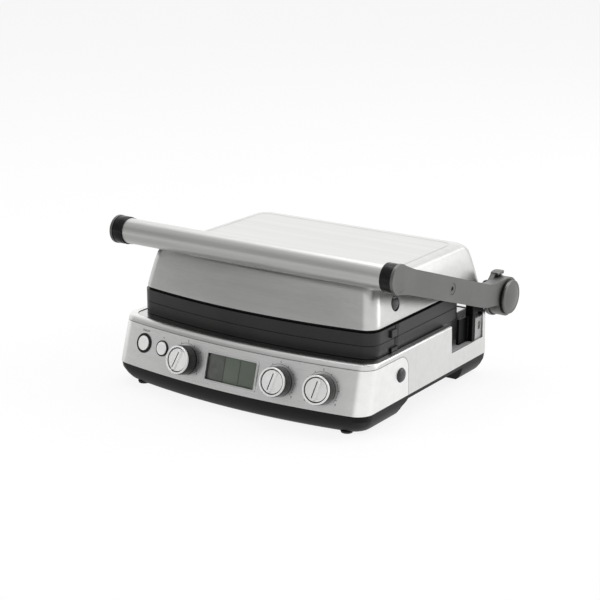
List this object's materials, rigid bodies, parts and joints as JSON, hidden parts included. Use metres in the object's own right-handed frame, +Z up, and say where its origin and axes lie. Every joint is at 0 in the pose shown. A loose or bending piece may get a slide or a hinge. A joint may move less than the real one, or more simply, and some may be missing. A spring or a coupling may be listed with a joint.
{
  "type": "electric indoor grill",
  "caption": "Low countertop contact grill: bowed steel base with a control panel, ridged plates, and a steel lid that floats between two arms joined by a bar handle.",
  "frame": {"origin": "middle of the bounding box at table level", "axes": "+X to the right across the front, +Y from the front towards the hinge, +Z up"},
  "size_m": [0.4276, 0.3645, 0.2052],
  "materials": {
    "brushed_steel": "satin, brushed along the width",
    "deck_steel": "satin",
    "cast_arm": "fine satin casting",
    "hub_cap": "silver, satin",
    "black_plastic": "fine matt",
    "chrome_trim": "satin chrome with a bright edge",
    "display_lens": "clear",
    "display": "grey-green display",
    "circuit_board": "satin",
    "machined_steel": "plain",
    "reflector": "bright sheet",
    "heater_sheath": "heat-darkened",
    "plate_coating": "dark non-stick coating on cast aluminium",
    "rubber": "matt",
    "relay_case": "gloss",
    "terminal_plastic": "satin",
    "grey_plastic": "fine matt",
    "black_cast": "black, matt",
    "dark_button": "dark grey, satin"
  },
  "bodies": {
    "base": {"base_shell": "brushed_steel", "front_panel": "brushed_steel", "control_frame": "black_plastic", "display_bezel": "chrome_trim", "display_lens": "display_lens", "lcd_module": "display", "control_board": "circuit_board", "encoder_bodies": "machined_steel", "button_boards": "circuit_board", "start_button_ring": "black_plastic", "mode_button_ring": "black_plastic", "base_deck": "deck_steel", "lower_reflector": "reflector", "lower_heater": "heater_sheath", "lower_plate": "plate_coating", "lower_sensor": "machined_steel", "bottom_skirt": "black_plastic", "rubber_feet": "rubber", "power_board": "circuit_board", "power_relays": "relay_case", "terminal_block": "terminal_plastic", "cord_gland": "black_plastic", "grease_chute": "deck_steel", "hinge_pocket_left": "grey_plastic", "hinge_pocket_right": "grey_plastic", "hinge_bracket_left": "black_cast", "hinge_bracket_right": "black_cast", "hinge_pins": "machined_steel"},
    "start_button": {"start_button": "chrome_trim"},
    "mode_button": {"mode_button": "chrome_trim"},
    "left_knob": {"left_knob": "black_plastic", "left_knob_face": "chrome_trim", "left_knob_shaft": "machined_steel"},
    "middle_knob": {"middle_knob": "black_plastic", "middle_knob_face": "chrome_trim", "middle_knob_shaft": "machined_steel"},
    "right_knob": {"right_knob": "black_plastic", "right_knob_face": "chrome_trim", "right_knob_shaft": "machined_steel"},
    "lower_release": {"lower_release_button": "dark_button", "lower_catch": "machined_steel"},
    "drip_tray": {"drip_tray": "black_plastic"},
    "handle": {"arm_left": "cast_arm", "arm_right": "cast_arm", "handle_bar": "brushed_steel", "handle_collar_left": "black_plastic", "handle_collar_right": "black_plastic", "hub_cap_left": "hub_cap", "hub_cap_right": "hub_cap", "hub_rings": "black_plastic", "lid_pivot_screws": "machined_steel"},
    "hinge_release": {"hinge_release_lever": "cast_arm"},
    "lid": {"lid_shell": "brushed_steel", "lid_frame": "black_plastic", "lid_pivot_bosses": "cast_arm", "upper_reflector": "reflector", "upper_heater": "heater_sheath", "upper_plate": "plate_coating"},
    "upper_release": {"upper_release_button": "dark_button", "upper_catch": "machined_steel"}
  },
  "joints": [
    {"name": "start_button_press", "type": "slide", "parent": "base", "child": "start_button", "axis": [0.1439, 0.949, -0.2807], "range_m": [0, 0.0012], "stiffness_N_per_m": 800, "springref_m": -0.0015},
    {"name": "mode_button_press", "type": "slide", "parent": "base", "child": "mode_button", "axis": [0.1109, 0.9534, -0.2807], "range_m": [0, 0.0012], "stiffness_N_per_m": 800, "springref_m": -0.0015},
    {"name": "left_knob_turn", "type": "hinge", "parent": "base", "child": "left_knob", "pos_m": [-0.067, -0.1609, 0.052], "axis": [-0.069, -0.9573, 0.2807], "range_deg": [-120, 120]},
    {"name": "middle_knob_turn", "type": "hinge", "parent": "base", "child": "middle_knob", "pos_m": [0.0706, -0.16063, 0.052], "axis": [0.0727, -0.957, 0.2807], "range_deg": [-135, 135]},
    {"name": "right_knob_turn", "type": "hinge", "parent": "base", "child": "right_knob", "pos_m": [0.127, -0.15462, 0.052], "axis": [0.1307, -0.9509, 0.2807], "range_deg": [-135, 135]},
    {"name": "lower_release_press", "type": "slide", "parent": "base", "child": "lower_release", "axis": [-1, 0, 0], "range_m": [0, 0.003], "stiffness_N_per_m": 800, "springref_m": -0.002},
    {"name": "tray_slide", "type": "slide", "parent": "base", "child": "drip_tray", "axis": [0, 1, 0], "range_m": [0, 0.045]},
    {"name": "lid_hinge", "type": "hinge", "parent": "base", "child": "handle", "pos_m": [0, 0.15493, 0.102], "axis": [-1, 0, 0], "range_deg": [0, 178]},
    {"name": "hinge_release_press", "type": "hinge", "parent": "handle", "child": "hinge_release", "pos_m": [0, 0.15493, 0.102], "axis": [-1, 0, 0], "range_deg": [0, 12], "stiffness_Nm_per_rad": 0.6, "springref_deg": -17.19},
    {"name": "lid_float", "type": "hinge", "parent": "handle", "child": "lid", "pos_m": [0, 0.00693, 0.1472], "axis": [-1, 0, 0], "range_deg": [0, 2]},
    {"name": "upper_release_press", "type": "slide", "parent": "lid", "child": "upper_release", "axis": [-1, 0, 0], "range_m": [0, 0.003], "stiffness_N_per_m": 800, "springref_m": -0.002}
  ],
  "couplings": [
    {"joint": "lid_float", "follows": "lid_hinge", "ratio": 0.01123}
  ]
}
